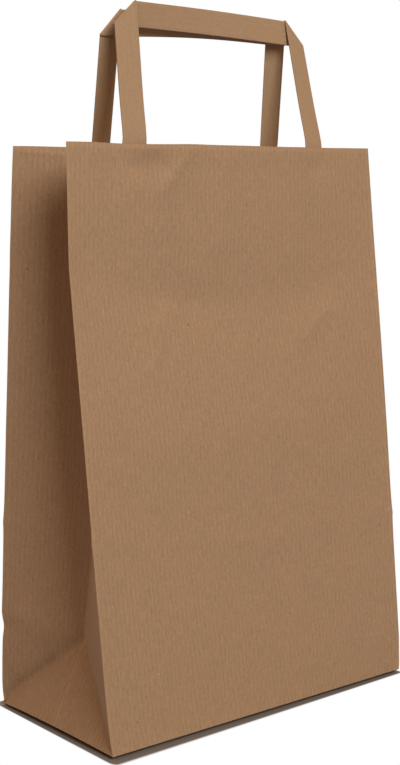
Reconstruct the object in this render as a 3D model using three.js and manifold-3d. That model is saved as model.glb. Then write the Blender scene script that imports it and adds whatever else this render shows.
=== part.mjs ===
// Paper carrier bag with flat handles: one folded kraft sheet, two folded-strip handles and
// the two patches that hold the handle ends inside the panels.
// Millimetres, +Z up. The origin is the middle of the base on the standing plane, and the
// front panel faces -Y.

import * as THREE from 'three';
import { mergeVertices } from 'three/addons/utils/BufferGeometryUtils.js';
import Module from 'manifold-3d';

// Sheet
const bagWidth = 220;
const bagDepth = 110;
const rimHeight = 318.7;
const paper = 0.15;

// How far the rim stands from the middle plane when the bag stands half open
const frontRimLeft = 18.5;
const frontRimRight = 20;
const rearRim = 36.5;

// Soft shape of the panels
const kneeHeight = 255; // where the front panel turns upright, at its side edges
const kneeSag = 24; // how much lower that turn lies in the middle of the panel
const kneeLeft = 5.6;
const kneeRight = 0.4;
const kneeSoftness = 0.05;
const cornerTuck = 2.2; // front left corner drawn in just above the base
const tuckHeight = 13;
const belly = 1.3; // outward swell of the rear panel
const rearBow = 16; // rear rim pushed in between the handle legs
const bowFlat = 78; // half of the straight stretch there
const bowSoftness = 3;

// Side gussets
const earHeight = 46; // top of the base triangle on each side
const rimDip = 3; // rim of a gusset is lower at its centre crease

// Block bottom and glued side lap
const flapLap = 12;
const lapWidth = 18;
const lapFromEdge = 22;
const lapTaper = 3;

// Handles and patches
const stripWidth = 13.5;
const stripThickness = 0.8;
const legSpacing = 129;
const gluedLength = 42;
const foldGap = 0.4;
const legTwist = 8; // degrees, opens the corner folds
const patchMargin = 12;
const patchBelowRim = 4;
const patchBelowLegs = 6;
const patchRamp = 3;
const seat = 0.3; // clearance between glued layers
// Set of each handle: rise is from the rim to the foot of the corner folds, along a leg. Lean and
// sway are how far the legs tip inwards and to the right over that length, and arch is how far
// the middle of the bar lies above its ends.
const front = { facing: -1, shift: 0.3, rise: 65.6, sway: 6.7, leanLeft: 14.4, leanRight: 23, arch: 0.4 };
const rear = { facing: 1, shift: 2.3, rise: 60.6, sway: -0.3, leanLeft: 8, leanRight: 4.5, arch: 1.5 };

// Mesh fineness
const panelColumns = 18;
const facetColumns = 4;
const earColumns = 6;
const earRows = 5;
const wallRows = 15;
const foldSteps = 5;
const barSteps = 10;
const legSteps = 5;
const patchColumns = 20;
const probe = 0.05; // step for surface normals
const weld = 1e-4;
const steadying = 1e-5; // keeps the step solvable where all faces at a point lie flat

const wasm = await Module();
wasm.setup();

const { clamp, lerp, degToRad } = THREE.MathUtils;
const vec = (x, y, z) => new THREE.Vector3(x, y, z);
const mix = (a, b, t) => a.clone().lerp(b, t);
const along = (p, direction, distance) => p.clone().addScaledVector(direction, distance);
const halfWidth = bagWidth / 2;
const halfDepth = bagDepth / 2;
const floorLevel = 2 * paper; // the bottom sheet lies over the two flaps
const wallHeight = rimHeight - floorLevel;

// Closed triangle mesh whose points are shared by place
class Skin {
  points = [];
  faces = [];
  places = new Map();

  id(p) {
    const key = p.toArray().map((v) => Math.round(v / weld)).join();
    if (!this.places.has(key)) {
      this.places.set(key, this.points.length);
      this.points.push(p.clone());
    }
    return this.places.get(key);
  }

  triangle(a, b, c) {
    const face = [this.id(a), this.id(b), this.id(c)];
    if (new Set(face).size === 3) this.faces.push(face);
  }

  quad(a, b, c, d) {
    this.triangle(a, b, c);
    this.triangle(a, c, d);
  }

  geometry() {
    const geometry = new THREE.BufferGeometry();
    const flat = this.points.flatMap((p) => p.toArray());
    geometry.setAttribute('position', new THREE.Float32BufferAttribute(flat, 3));
    geometry.setIndex(this.faces.flat());
    return geometry;
  }
}

// Front panel: leans back from the base, then turns upright at the knee
function frontPanel(x, z) {
  const share = x / bagWidth + 0.5;
  const lift = z - floorLevel;
  const height = lift / wallHeight;
  const turn = kneeHeight - kneeSag * (1 - (x / halfWidth) ** 2);
  const rising = lift / turn;
  const falling = (wallHeight - lift) / (wallHeight - turn);
  const blend = Math.exp(-rising / kneeSoftness) + Math.exp(-falling / kneeSoftness);
  const knee = -kneeSoftness * Math.log(blend) * lerp(kneeLeft, kneeRight, share);
  const tuck = cornerTuck * (1 - share) * (1 - height) * (1 - Math.exp(-lift / tuckHeight));
  const rim = lerp(frontRimLeft, frontRimRight, share);
  return vec(x, knee + tuck - lerp(halfDepth, rim, height), z);
}

// Rear panel: swells a little and is pushed in along the middle of the rim, which draws its edges in
function rearPanel(x, z) {
  const height = (z - floorLevel) / wallHeight;
  const bow = rearBow * height;
  const slope = halfWidth - bowFlat;
  const ramp = (distance) => bowSoftness * Math.log(1 + Math.exp((distance - bowFlat) / bowSoftness));
  const pushed = bow * (1 - ramp(Math.abs(x)) / ramp(halfWidth));
  const drawn = 1 - bow ** 2 / (2 * slope * halfWidth);
  const swell = belly * Math.sin(Math.PI * height);
  return vec(x * drawn, lerp(halfDepth, rearRim, height) + swell - pushed, z);
}

// Centre crease of a gusset: half the bag's depth from both corners, folded inwards
function creasePoint(frontCorner, rearCorner, side) {
  const middle = mix(frontCorner, rearCorner, 0.5);
  const across = rearCorner.clone().sub(frontCorner).setZ(0);
  const reach = Math.sqrt(Math.max(0, halfDepth ** 2 - across.lengthSq() / 4));
  const inward = vec(across.y, -across.x, 0).normalize().multiplyScalar(-side);
  const height = (middle.z - earHeight) / (rimHeight - earHeight);
  return along(middle, inward, reach).setZ(middle.z - rimDip * Math.max(0, height));
}

// One gusset at a height, from the front corner to the rear corner
function gussetRow(z, side) {
  const corner = (panel, level) => panel(side * halfWidth, level);
  const frontCorner = corner(frontPanel, z);
  const rearCorner = corner(rearPanel, z);
  let frontFold = creasePoint(frontCorner, rearCorner, side);
  let rearFold = frontFold;
  if (z < earHeight) {
    const tip = creasePoint(corner(frontPanel, earHeight), corner(rearPanel, earHeight), side);
    const climb = (z - floorLevel) / (earHeight - floorLevel);
    frontFold = mix(corner(frontPanel, floorLevel), tip, climb);
    rearFold = mix(corner(rearPanel, floorLevel), tip, climb);
  }
  const run = (a, b, count) => Array.from({ length: count }, (_, i) => mix(a, b, i / count));
  return [
    ...run(frontCorner, frontFold, facetColumns),
    ...run(frontFold, rearFold, earColumns),
    ...run(rearFold, rearCorner, facetColumns),
  ];
}

// Columns across a panel, with a doubled one at the raw edge of the lap
const lapStart = halfWidth - lapFromEdge - lapWidth;
const lapEnd = halfWidth - lapFromEdge;
const columns = [
  { x: lapStart, proud: 0 },
  { x: lapStart, proud: paper },
  { x: lapEnd, proud: paper },
  { x: lapEnd + lapTaper, proud: 0 },
];
for (let i = 0; i <= panelColumns; i++) {
  const x = lerp(-halfWidth, halfWidth, i / panelColumns);
  if (x < lapStart || x > lapEnd + lapTaper) columns.push({ x, proud: 0 });
}
columns.sort((a, b) => a.x - b.x || a.proud - b.proud);

// One closed ring of the bag's wall, anticlockwise from the front left corner
function wallRing(z) {
  const backwards = columns.slice().reverse();
  return [
    ...columns.slice(0, -1).map(({ x }) => frontPanel(x, z)),
    ...gussetRow(z, 1),
    ...backwards.slice(0, -1).map(({ x }) => rearPanel(x, z)),
    ...gussetRow(z, -1).reverse().map((p, i, row) => (i === 0 ? rearPanel(-halfWidth, z) : row[i - 1])),
  ];
}

const ringProud = [
  ...columns.slice(0, -1).map(() => 0),
  ...gussetRow(rimHeight, 1).map(() => 0),
  ...columns.slice(1).reverse().map(({ proud }) => proud),
  ...gussetRow(rimHeight, -1).map(() => 0),
];

const rowLevels = [
  ...Array.from({ length: earRows }, (_, i) => lerp(floorLevel, earHeight, i / earRows)),
  ...Array.from({ length: wallRows + 1 }, (_, i) => lerp(earHeight, rimHeight, i / wallRows)),
];

// Bottom sheet as rows of points from the front edge to the rear edge
function floorGrid(place) {
  const rows = [];
  for (let k = 0; k <= earColumns; k++) {
    const y = lerp(-halfDepth, halfDepth, k / earColumns);
    rows.push(columns.map(({ x }) => place(vec(x, y, floorLevel))));
  }
  return rows;
}

// Walls and bottom of the bag as one surface, its faces outwards or inwards
function addCup(skin, rings, floor, outward) {
  const face = (a, b, c, d) => (outward ? skin.quad(a, b, c, d) : skin.quad(a, d, c, b));
  for (let j = 0; j + 1 < rings.length; j++) {
    rings[j].forEach((p, i) => {
      const next = (i + 1) % rings[j].length;
      face(p, rings[j][next], rings[j + 1][next], rings[j + 1][i]);
    });
  }
  for (let k = 0; k + 1 < floor.length; k++) {
    for (let i = 0; i + 1 < columns.length; i++) {
      face(floor[k][i], floor[k + 1][i], floor[k + 1][i + 1], floor[k][i + 1]);
    }
  }
}

// Inward step of one sheet thickness at each point, square to every face that meets there
function inwardSteps(skin) {
  const sums = skin.points.map(() => ({
    matrix: new THREE.Matrix3().multiplyScalar(steadying),
    pull: vec(0, 0, 0),
  }));
  for (const face of skin.faces) {
    const [a, b, c] = face.map((i) => skin.points[i]);
    const normal = b.clone().sub(a).cross(c.clone().sub(a)).normalize();
    for (const i of face) {
      const { matrix, pull } = sums[i];
      const n = normal.toArray();
      matrix.elements.forEach((v, e) => (matrix.elements[e] = v + n[e % 3] * n[Math.floor(e / 3)]));
      pull.addScaledVector(normal, -paper);
    }
  }
  return sums.map(({ matrix, pull }) => pull.applyMatrix3(matrix.invert()));
}

// Solid from a closed geometry, for joining
function solid(geometry) {
  geometry.deleteAttribute('normal');
  geometry.deleteAttribute('uv');
  const merged = mergeVertices(geometry, weld);
  const mesh = new wasm.Mesh({
    numProp: 3,
    vertProperties: new Float32Array(merged.attributes.position.array),
    triVerts: new Uint32Array(merged.index.array),
  });
  return new wasm.Manifold(mesh);
}

function geometryOf(manifold) {
  const { vertProperties, triVerts } = manifold.getMesh();
  const geometry = new THREE.BufferGeometry();
  geometry.setAttribute('position', new THREE.BufferAttribute(vertProperties, 3));
  geometry.setIndex(new THREE.BufferAttribute(triVerts, 1));
  return geometry;
}

// Bottom flap with mitred ends, from one long edge to past the middle
function flapGeometry(facing, bottom) {
  const edge = facing * (halfDepth - paper);
  const length = halfDepth - paper + flapLap;
  const outline = new THREE.Shape([
    new THREE.Vector2(paper - halfWidth, edge),
    new THREE.Vector2(halfWidth - paper, edge),
    new THREE.Vector2(halfWidth - paper - length, edge - facing * length),
    new THREE.Vector2(paper + length - halfWidth, edge - facing * length),
  ]);
  const extrusion = { depth: floorLevel + paper / 2 - bottom, bevelEnabled: false };
  return new THREE.ExtrudeGeometry(outline, extrusion).translate(0, 0, bottom);
}

function bagBody() {
  const rings = rowLevels.map(wallRing);
  const floor = floorGrid((p) => p);
  const plain = new Skin();
  addCup(plain, rings, floor, true);
  const steps = inwardSteps(plain);
  const inner = (p) => p.clone().add(steps[plain.id(p)]);
  const outer = (p, proud) => along(p, steps[plain.id(p)], -proud / paper);

  const outerRings = rings.map((ring, j) => ring.map((p, i) => outer(p, j ? ringProud[i] : 0)));
  const innerRings = rings.map((ring) => ring.map(inner));
  const body = new Skin();
  addCup(body, outerRings, floor, true);
  addCup(body, innerRings, floorGrid(inner), false);
  const rim = outerRings.at(-1);
  const lip = innerRings.at(-1);
  rim.forEach((p, i) => {
    const next = (i + 1) % rim.length;
    body.quad(p, rim[next], lip[next], lip[i]);
  });
  const frontFlap = solid(flapGeometry(-1, paper));
  const rearFlap = solid(flapGeometry(1, 0));
  return geometryOf(solid(body.geometry()).add(frontFlap).add(rearFlap));
}

// A place inside a panel, some distance in from its outer face, with the outward direction there
function layer(panel, facing, x, z, depth) {
  const across = panel(x + probe, z).sub(panel(x - probe, z));
  const up = panel(x, z).sub(panel(x, z - probe));
  const outward = across.cross(up).normalize().multiplyScalar(-facing);
  return { point: along(panel(x, z), outward, -depth), outward };
}

// One handle leg from its glued end up to the corner fold, which then turns over towards the bar.
// Each section runs from the leg's outer edge, a, to its inner edge, b, with the outward direction n.
function legSections(panel, { facing, shift, rise, sway }, side, lean) {
  const middle = shift + (side * legSpacing) / 2;
  const edge = { a: middle + (side * stripWidth) / 2, b: middle - (side * stripWidth) / 2 };
  const depth = paper + seat + stripThickness / 2;
  const sections = [];
  for (let i = 0; i <= legSteps; i++) {
    const z = lerp(rimHeight - gluedLength, rimHeight, i / legSteps);
    const a = layer(panel, facing, edge.a, z, depth);
    const b = layer(panel, facing, edge.b, z, depth);
    sections.push({ a: a.point, b: b.point, n: mix(a.outward, b.outward, 0.5).normalize() });
  }
  const foot = sections.at(-1);
  const base = mix(foot.a, foot.b, 0.5);
  const climb = Math.sqrt(rise ** 2 - sway ** 2 - lean ** 2);
  const up = vec(sway, -facing * lean, climb).normalize();
  const flat = foot.b.clone().sub(foot.a).projectOnPlane(up).normalize();
  const turn = degToRad(legTwist) * side * -facing;
  let width = flat;
  for (let i = 1; i <= legSteps; i++) {
    width = flat.clone().applyAxisAngle(up, (turn * i) / legSteps);
    const centre = along(base, up, (rise * i) / legSteps);
    const n = width.clone().cross(up).multiplyScalar(facing * side).normalize();
    const [a, b] = [-0.5, 0.5].map((share) => along(centre, width, share * stripWidth));
    sections.push({ a, b, n });
  }
  const top = sections.at(-1);
  sections.push({ a: top.a, b: along(top.b, up, stripWidth), n: top.n });
  return sections;
}

// Turn the strip over the diagonal at the end of a leg, towards the far end of the bar
function foldOver(leg, farCorner) {
  const { a, b, n } = leg.at(-1);
  const diagonal = b.clone().sub(a).normalize();
  const away = n.clone().cross(diagonal);
  away.multiplyScalar(Math.sign(away.dot(a.clone().sub(farCorner))));
  const barNormal = diagonal.clone().cross(farCorner.clone().sub(a)).normalize();
  barNormal.multiplyScalar(-Math.sign(barNormal.dot(n)));
  const sweep = Math.atan2(barNormal.dot(away), barNormal.dot(n));
  const radius = (stripThickness + foldGap) / 2;
  const whole = sweep > 0 ? sweep : sweep + 2 * Math.PI;
  for (let i = 1; i <= foldSteps; i++) {
    const angle = (whole * i) / foldSteps;
    const normal = n.clone().multiplyScalar(Math.cos(angle)).addScaledVector(away, Math.sin(angle));
    const shift = normal.clone().sub(n).multiplyScalar(radius);
    leg.push({ a: a.clone().add(shift), b: b.clone().add(shift), n: normal });
  }
}

// Handle: a flat strip, folded over at both corners so that the bar lies inside the legs
function handle(panel, place) {
  const left = legSections(panel, place, -1, place.leanLeft);
  const right = legSections(panel, place, 1, place.leanRight);
  const corners = [left.at(-1).a, right.at(-1).a];
  foldOver(left, corners[1]);
  foldOver(right, corners[0]);
  const start = left.at(-1);
  const end = right.at(-1);
  const length = start.a.distanceTo(end.a);
  const bar = [];
  for (let i = 0; i <= barSteps; i++) {
    const share = i / barSteps;
    const station = lerp(stripWidth, length - stripWidth, share);
    const n = mix(start.n, end.n, station / length).normalize();
    const lift = vec(0, 0, place.arch * Math.sin(Math.PI * share));
    const a = mix(start.a, end.a, station / length).add(lift);
    bar.push({ a, b: mix(start.b, end.b, share).add(lift), n });
  }
  return strip([...left, ...bar, ...right.reverse()]);
}

// Solid strip through its sections
function strip(sections) {
  const loops = sections.map(({ a, b, n }) => {
    const half = stripThickness / 2;
    return [along(a, n, half), along(b, n, half), along(b, n, -half), along(a, n, -half)];
  });
  const skin = new Skin();
  for (let j = 0; j + 1 < loops.length; j++) {
    loops[j].forEach((p, i) => {
      const next = (i + 1) % 4;
      skin.quad(p, loops[j + 1][i], loops[j + 1][next], loops[j][next]);
    });
  }
  skin.quad(...loops[0]);
  skin.quad(...loops.at(-1).reverse());
  return facingOut(skin.geometry());
}

// Flip a closed geometry whose faces point inwards
function facingOut(geometry) {
  const index = geometry.index.array;
  const points = geometry.attributes.position;
  const corner = (i) => new THREE.Vector3().fromBufferAttribute(points, index[i]);
  let volume = 0;
  for (let i = 0; i < index.length; i += 3) {
    volume += corner(i).dot(corner(i + 1).cross(corner(i + 2)));
  }
  if (volume < 0) index.reverse();
  return geometry;
}

// Patch: a sheet against the inside of a panel that rises over the two leg ends
function patch(panel, { facing, shift }) {
  const legHalf = stripWidth / 2 + seat;
  const halfSpan = legSpacing / 2 + stripWidth / 2 + patchMargin;
  const low = paper + seat;
  const high = low + stripThickness + seat;
  const xs = Array.from({ length: patchColumns + 1 }, (_, i) => lerp(-halfSpan, halfSpan, i / patchColumns));
  for (const leg of [-legSpacing / 2, legSpacing / 2]) {
    for (const edge of [-legHalf - patchRamp, -legHalf, legHalf, legHalf + patchRamp]) xs.push(leg + edge);
  }
  xs.sort((a, b) => a - b);
  const profile = xs.map((x) => {
    const pastLeg = Math.abs(Math.abs(x) - legSpacing / 2) - legHalf;
    return { x, depth: lerp(high, low, clamp(pastLeg / patchRamp, 0, 1)) };
  });
  const bottom = rimHeight - gluedLength - patchBelowLegs;
  const top = rimHeight - patchBelowRim;
  const rows = [];
  for (let j = 0; j <= legSteps; j++) {
    const z = lerp(bottom, top, j / legSteps);
    rows.push(profile.map(({ x, depth }) => {
      const outer = layer(panel, facing, x + shift, z, depth).point;
      return { outer, inner: layer(panel, facing, x + shift, z, depth + paper).point };
    }));
  }
  const skin = new Skin();
  for (let j = 0; j < legSteps; j++) {
    for (let i = 0; i + 1 < profile.length; i++) {
      const [p, q, r, s] = [rows[j][i], rows[j][i + 1], rows[j + 1][i + 1], rows[j + 1][i]];
      skin.quad(p.outer, q.outer, r.outer, s.outer);
      skin.quad(p.inner, s.inner, r.inner, q.inner);
    }
  }
  const border = [
    ...rows[0],
    ...rows.slice(1, -1).map((row) => row.at(-1)),
    ...rows.at(-1).slice().reverse(),
    ...rows.slice(1, -1).reverse().map((row) => row[0]),
  ];
  border.forEach((p, i) => {
    const next = border[(i + 1) % border.length];
    skin.quad(p.inner, next.inner, next.outer, p.outer);
  });
  return facingOut(skin.geometry());
}

const kraft = (color) => new THREE.MeshStandardMaterial({ color, roughness: 0.85, metalness: 0 });
const group = new THREE.Group();

function addPiece(name, geometry, color) {
  const mesh = new THREE.Mesh(geometry, kraft(color));
  mesh.name = name;
  group.add(mesh);
}

addPiece('bag_body', bagBody(), '#a07d5d');
addPiece('front_handle', handle(frontPanel, front), '#a88664');
addPiece('rear_handle', handle(rearPanel, rear), '#a88664');
addPiece('front_handle_patch', patch(frontPanel, front), '#a5825f');
addPiece('rear_handle_patch', patch(rearPanel, rear), '#a5825f');

export default group;
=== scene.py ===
import math
import bpy
import numpy as np
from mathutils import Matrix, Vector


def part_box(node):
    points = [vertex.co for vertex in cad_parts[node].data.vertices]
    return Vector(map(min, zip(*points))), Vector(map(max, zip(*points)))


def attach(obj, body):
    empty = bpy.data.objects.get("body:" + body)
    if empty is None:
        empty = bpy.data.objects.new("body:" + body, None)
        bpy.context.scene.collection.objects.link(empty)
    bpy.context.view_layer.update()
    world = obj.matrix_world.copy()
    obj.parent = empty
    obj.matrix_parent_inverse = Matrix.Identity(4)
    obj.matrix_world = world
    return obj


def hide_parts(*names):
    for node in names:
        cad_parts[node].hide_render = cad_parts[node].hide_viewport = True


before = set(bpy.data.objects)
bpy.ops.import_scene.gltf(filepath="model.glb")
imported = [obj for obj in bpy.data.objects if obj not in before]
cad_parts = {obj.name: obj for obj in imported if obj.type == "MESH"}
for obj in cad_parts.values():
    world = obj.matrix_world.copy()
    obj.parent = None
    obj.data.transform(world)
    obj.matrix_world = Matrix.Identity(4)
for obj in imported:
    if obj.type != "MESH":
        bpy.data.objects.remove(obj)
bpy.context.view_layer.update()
mm = 0.001


def lerp(a, b, t):
    return a + (b - a) * t


def blend(a, b, t):  # points a and b, shares t
    return a + (b - a) * np.asarray(t)[..., None]


def points(x, y, z):
    return np.stack(np.broadcast_arrays(x, y, z), axis=-1).astype(float)


def unit(v):
    return v / np.linalg.norm(v, axis=-1, keepdims=True)


def bell(d):
    return np.exp(-d * d)


# the open bag as it stands, measured from the frame and set like the solids
bagLow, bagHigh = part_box("bag_body")
bag = {
    "width": bagHigh.x - bagLow.x,
    "depth": bagHigh.y - bagLow.y,
    "rim": bagHigh.z,
    "floor": 0.3 * mm,  # the bottom sheet lies over two flaps
    "paper": 0.2 * mm,
    "frontRimLeft": 18.5 * mm,
    "frontRimRight": 20 * mm,
    "rearRim": 36.5 * mm,
    "kneeHeight": 255 * mm,
    "kneeSag": 24 * mm,
    "kneeLeft": 5.6 * mm,
    "kneeRight": 0.4 * mm,
    "kneeSoftness": 0.035,
    "cornerTuck": 2.2 * mm,
    "tuckHeight": 13 * mm,
    "belly": 1.3 * mm,
    "rearBow": 16 * mm,
    "bowFlat": 78 * mm,
    "bowSoftness": 3 * mm,
    "earHeight": 46 * mm,
    "rimDip": 3 * mm,
    "foldRadius": 0.8 * mm,
    "baseRadius": 0.8 * mm,
    "columnStep": 3.2 * mm,
    "gussetStep": 1.7 * mm,
    "rowStep": 3.2 * mm,
    "baseStep": 1.3 * mm,
    "baseZone": 56 * mm,  # finer rows up to here, for the base folds
    "normalStep": 0.6 * mm,
    "bendStart": -0.055,  # slope of the front panel's bends at the base
    "bendAmount": 0.9,
    "bendEdge": 5,  # power that keeps the side folds straight
    "bendFoot": 6 * mm,
    "bendHead": 14 * mm,
    "heldBase": 20 * mm,  # no edge leaves its plain line at the base
    "sideRoom": 5 * mm,  # how far an edge may stand out above it
    "liftAt": 610,  # near the middle of the left gusset, in mm round the sheet
    "liftWidth": 38,
    "liftRise": 0.5,
    "liftDrop": 0.2,
    "liftFade": 18 * mm,
    # paler folds and bottom edge: partly wear, partly a painted highlight where the rounded folds catch the
    # light
    "highlightAndWearWidth": 1.3,
    "baseHighlightAndWear": 0.6,
    "baseHighlightAndWearHeight": 1.5 * mm,
    "lapFoot": 8 * mm,
    "lapStart": 70 * mm,  # glued side lap on the rear panel, from its middle
    "lapEnd": 88 * mm,
    "lapTaper": 3 * mm,
    "lapProud": 0.25 * mm,
    "flapLap": 12 * mm,
}
halfWidth = bag["width"] / 2
halfDepth = bag["depth"] / 2
wallHeight = bag["rim"] - bag["floor"]
frontEnd = bag["width"]  # u runs round the sheet from the front panel's left fold
rightEnd = frontEnd + bag["depth"]
rearEnd = rightEnd + bag["width"]
aroundBag = rearEnd + bag["depth"]


def frontPanel(x, z):
    share = x / bag["width"] + 0.5
    lift = z - bag["floor"]
    height = lift / wallHeight
    turn = bag["kneeHeight"] - bag["kneeSag"] * (1 - (x / halfWidth) ** 2)
    rising = lift / turn
    falling = (wallHeight - lift) / (wallHeight - turn)
    soft = bag["kneeSoftness"]
    knee = -soft * np.logaddexp(-rising / soft, -falling / soft)
    knee = knee * lerp(bag["kneeLeft"], bag["kneeRight"], share)
    tuck = bag["cornerTuck"] * (1 - share) * (1 - height) * (1 - np.exp(-lift / bag["tuckHeight"]))
    rim = lerp(bag["frontRimLeft"], bag["frontRimRight"], share)
    return points(x, knee + tuck - swell(x, lift, turn) - lerp(halfDepth, rim, height), z)


# the front panel's long bends from base to rim: height and softness in mm, and the change of slope
kneeLevel = 231
bends = [
    {"at": 30, "soft": 10, "slope": 0.01},
    {"at": 78, "soft": 10, "slope": 0.045},
    {"at": 115, "soft": 8, "slope": 0.055},
    {"at": 160, "soft": 5, "slope": -0.15},
    {"at": kneeLevel, "soft": 1.6, "slope": 0.215},
    {"at": 262, "soft": 10, "slope": -0.045},
    {"at": 300, "soft": 6, "slope": -0.03},
]


def swell(x, lift, turn):
    knee = kneeLevel * mm
    below = lift / turn * knee
    above = knee + (lift - turn) / (wallHeight - turn) * (wallHeight - knee)
    level = np.where(lift < turn, below, above) / mm
    out = bag["bendStart"] * level
    for bend in bends:
        out = out + bend["slope"] * bend["soft"] * np.logaddexp(0, (level - bend["at"]) / bend["soft"])
    free = 1 - np.abs(x / halfWidth) ** bag["bendEdge"]
    foot = np.clip(lift / bag["bendFoot"], 0, 1)
    head = np.clip((wallHeight - lift) / bag["bendHead"], 0, 1)
    return out * bag["bendAmount"] * free * (foot * head) * mm


def rearPanel(x, z):
    height = (z - bag["floor"]) / wallHeight
    bow = bag["rearBow"] * height
    soft = bag["bowSoftness"]

    def ramp(d):
        return soft * np.logaddexp(0, (d - bag["bowFlat"]) / soft)

    pushed = bow * (1 - ramp(np.abs(x)) / ramp(halfWidth))
    drawn = 1 - bow**2 / (2 * (halfWidth - bag["bowFlat"]) * halfWidth)
    bulge = bag["belly"] * np.sin(math.pi * height)
    return points(x * drawn, lerp(halfDepth, bag["rearRim"], height) + bulge - pushed, z)


def creasePoint(frontCorner, rearCorner, side):  # centre crease of a gusset, folded inwards
    middle = (frontCorner + rearCorner) / 2
    across = rearCorner - frontCorner
    span = np.hypot(across[..., 0], across[..., 1])
    reach = np.sqrt(np.maximum(0, halfDepth**2 - span**2 / 4))
    height = np.maximum(0, (middle[..., 2] - bag["earHeight"]) / (bag["rim"] - bag["earHeight"]))
    x = middle[..., 0] - side * reach * across[..., 1] / span
    y = middle[..., 1] + side * reach * across[..., 0] / span
    return points(x, y, middle[..., 2] - bag["rimDip"] * height)


def gusset(s, z, side):  # s runs from the front fold to the rear fold
    frontCorner = frontPanel(side * halfWidth, z)
    rearCorner = rearPanel(side * halfWidth, z)
    tipLevel = np.asarray(bag["earHeight"])
    tip = creasePoint(frontPanel(side * halfWidth, tipLevel), rearPanel(side * halfWidth, tipLevel), side)
    climb = np.clip((z - bag["floor"]) / (bag["earHeight"] - bag["floor"]), 0, 1)
    low = np.asarray(bag["floor"])
    crease = creasePoint(frontCorner, rearCorner, side)
    above = (z >= bag["earHeight"])[..., None]
    frontFold = np.where(above, crease, blend(frontPanel(side * halfWidth, low), tip, climb))
    rearFold = np.where(above, crease, blend(rearPanel(side * halfWidth, low), tip, climb))
    tiny = 1e-9
    first = np.maximum(halfDepth * climb, tiny)  # where the base triangle starts and ends
    last = bag["depth"] - first
    s = np.clip(s, 0, bag["depth"])
    frontFacet = blend(frontCorner, frontFold, s / first)
    rearFacet = blend(rearFold, rearCorner, (s - last) / first)
    ear = blend(frontFold, rearFold, (s - first) / np.maximum(last - first, tiny))
    return np.where((s < first)[..., None], frontFacet, np.where((s > last)[..., None], rearFacet, ear))


def wall(u, z):
    u, z = np.broadcast_arrays(np.mod(u, aroundBag), z)
    front = frontPanel(u - halfWidth, z)
    right = gusset(u - frontEnd, z, 1)
    rear = rearPanel(halfWidth - (u - rightEnd), z)
    left = gusset(aroundBag - u, z, -1)
    marks = [(u < end)[..., None] for end in (frontEnd, rightEnd, rearEnd)]
    return np.select(marks, [front, right, rear], left)


# what handling has left in the sheet: places as (u, z), sizes and rises outwards, all in mm
dents = [
    {"at": (53, 308), "size": (17, 8), "rise": -2.6},  # below the front left leg
    {"at": (150, 308), "size": (9, 8), "rise": -0.5},
    {"at": (176, 309), "size": (12, 6), "rise": -0.6},  # below the front right leg
    {"at": (116, 287), "size": (14, 9), "rise": 0.5},
    {"at": (172, 293), "size": (14, 10), "rise": 0.45},
    {"at": (62, 233), "size": (11, 8), "rise": -0.7},  # along the knee
    {"at": (86, 231), "size": (12, 8), "rise": -0.8},
    {"at": (163, 228), "size": (12, 8), "rise": -0.7},
    {"at": (196, 250), "size": (22, 12), "rise": 0.3},
    {"at": (24, 262), "size": (18, 14), "rise": -0.3},
    {"at": (568, 49), "size": (20, 9), "rise": 1.0},
    {"at": (556, 13), "size": (7, 11), "rise": -1.0},  # pinched above the rear left base corner
    {"at": (440, 70), "size": (50, 30), "rise": 0.9},
]
tilts = [  # the rim turns with each handle leg, in degrees
    {"at": (45.2, 320), "size": (16, 18), "turn": 14.7},
    {"at": (175.8, 320), "size": (16, 18), "turn": -7.0},
    {"at": (372.3, 320), "size": (16, 18), "turn": 3.0},
    {"at": (502.3, 320), "size": (16, 18), "turn": -10.0},
]
moves = [  # edges that stand off their plain lines, as (x, y, z)
    {"at": (8, 319), "size": (36, 45), "by": (0, 0, 1.2)},
    {"at": (80, 319), "size": (22, 40), "by": (0, 0, 0.65)},
    {"at": (118, 319), "size": (30, 40), "by": (0, 0, 0.4)},
    {"at": (220, 160), "size": (60, 170), "by": (2.8, 0, 0)},
    {"at": (585, 319), "size": (26, 30), "by": (0, 0, -1.5)},
    {"at": (520, 319), "size": (22, 30), "by": (0, 0, -0.7)},
    {"at": (550, 319), "size": (22, 60), "by": (-1.2, 0, 0)},
    {"at": (550, 150), "size": (25, 70), "by": (0.5, 0, 0)},
    {"at": (550, 46), "size": (20, 6), "by": (1.3, -0.4, 0)},
    {"at": (550, 34), "size": (20, 13), "by": (0.5, -0.2, 0)},
]
creases = [
    {"from": (-6, 111), "to": (130, 95), "width": 4, "rise": 0.4},  # base once folded up flat
    {"from": (130, 95), "to": (226, 98), "width": 4, "rise": 0.4},
    {"from": (226, 98), "to": (330, 104), "width": 5, "rise": 0.25},
    {"from": (330, 104), "to": (550, 108), "width": 5, "rise": 0.25},
    {"from": (550, 108), "to": (654, 111), "width": 5, "rise": 0.25},
    {"from": (550, 1), "to": (605, 46), "width": 2.2, "rise": -0.9},  # base triangles
    {"from": (551, 2), "to": (583, 28), "width": 4, "rise": -2.0},
    {"from": (660, 1), "to": (605, 46), "width": 1.8, "rise": -0.3},
    {"from": (330, 1), "to": (275, 46), "width": 2.2, "rise": -0.9},
    {"from": (220, 1), "to": (275, 46), "width": 1.8, "rise": -0.3},
    {"from": (83, 316), "to": (64, 296), "width": 5, "rise": 2.0},  # fan below the rim
    {"from": (64, 296), "to": (67, 276), "width": 5.5, "rise": 1.6},
    {"from": (106, 308), "to": (104, 266), "width": 7, "rise": 1.6},
    {"from": (65, 230), "to": (51, 197), "width": 4.5, "rise": 1.4},  # below the knee
    {"from": (65, 230), "to": (75, 195), "width": 4.5, "rise": 1.3},
    {"from": (181, 224), "to": (156, 204), "width": 5.5, "rise": 2.0},
    {"from": (372, 300), "to": (395, 255), "width": 4, "rise": 0.3},
    {"from": (478, 250), "to": (508, 205), "width": 4, "rise": -0.25},
]


def sheetGap(u, place):  # distance round the sheet, in mm
    gap = u / mm - place
    around = aroundBag / mm
    return gap - around * np.round(gap / around)


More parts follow.
